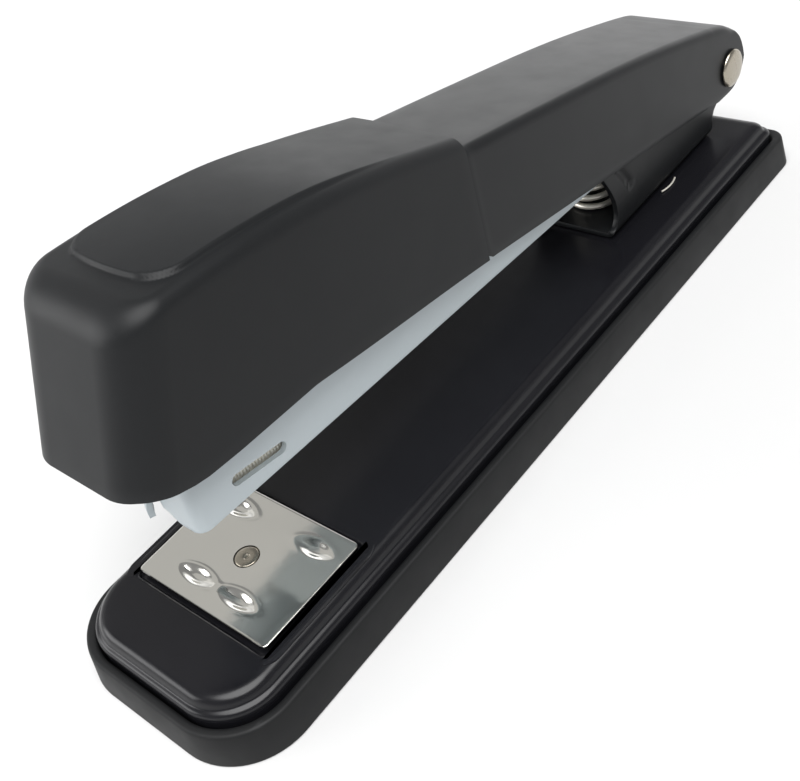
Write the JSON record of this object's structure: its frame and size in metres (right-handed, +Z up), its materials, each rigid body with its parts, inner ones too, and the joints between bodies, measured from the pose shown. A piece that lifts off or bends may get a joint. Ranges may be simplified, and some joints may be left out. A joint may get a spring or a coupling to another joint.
{
  "type": "stapler",
  "caption": "Compact desk stapler with a rubber-shod steel base, turnable anvil, sprung staple magazine and an opening arm with a moulded nose cap.",
  "frame": {"origin": "on the table under the middle of the stapler's bounding box", "axes": "+Y from the nose to the pivot, +X across the stapler, +Z up"},
  "size_m": [0.0376, 0.1441, 0.0586],
  "materials": {
    "rubber": "matte moulded rubber",
    "black_enamel": "glossy black stoved enamel",
    "black_satin": "satin black powder coat",
    "cap_plastic": "fine-grained moulding",
    "grey_paint": "satin light blue-grey paint",
    "chrome": "polished",
    "nickel": "bright warm nickel plate",
    "steel": "plain spring and strip steel",
    "staple_steel": "bright wire, glued side by side"
  },
  "bodies": {
    "base": {"rubber_base_boot": "rubber", "base_plate": "black_enamel", "rear_bracket": "black_satin", "bracket_rivet_1": "black_satin", "bracket_rivet_2": "black_satin", "bracket_stake_right": "steel", "bracket_stake_left": "steel", "pivot_rivet": "nickel", "pivot_sleeve": "steel", "lift_spring": "steel", "anvil_spring": "steel"},
    "anvil_button": {"anvil_button": "steel"},
    "anvil": {"anvil_plate": "chrome", "anvil_post": "nickel"},
    "magazine": {"magazine_channel": "grey_paint", "magazine_core": "grey_paint", "core_pin": "steel", "staple_strip": "staple_steel", "pusher_rod": "steel", "pusher_spring": "steel", "rod_anchor": "steel"},
    "pusher": {"pusher": "steel"},
    "arm": {"arm_channel": "black_satin", "nose_cap": "cap_plastic", "driver_blade": "steel", "driver_rivet": "steel", "return_leaf_spring": "steel", "leaf_rivet": "steel"}
  },
  "joints": [
    {"name": "magazine_hinge", "type": "hinge", "parent": "base", "child": "magazine", "pos_m": [0, 0.067, 0.019], "axis": [-1, 0, 0], "range_deg": [-7.2, 0], "stiffness_Nm_per_rad": 1.2, "springref_deg": 7.16, "deforming": ["lift_spring"]},
    {"name": "arm_hinge", "type": "hinge", "parent": "magazine", "child": "arm", "pos_m": [0, 0.067, 0.019], "axis": [-1, 0, 0], "range_deg": [-3.4, 95]},
    {"name": "pusher_slide", "type": "slide", "parent": "magazine", "child": "pusher", "axis": [0, 0.9974, -0.0718], "range_m": [0, 0.02], "stiffness_N_per_m": 60, "springref_m": -0.03},
    {"name": "anvil_lift", "type": "slide", "parent": "base", "child": "anvil_button", "axis": [0, 0, 1], "range_m": [0, 0.0018], "stiffness_N_per_m": 500, "springref_m": -0.002, "deforming": ["anvil_spring"]},
    {"name": "anvil_turn", "type": "hinge", "parent": "anvil_button", "child": "anvil", "pos_m": [0, -0.0495, 0.00945], "axis": [0, 0, 1], "range_deg": [0, 180]}
  ]
}
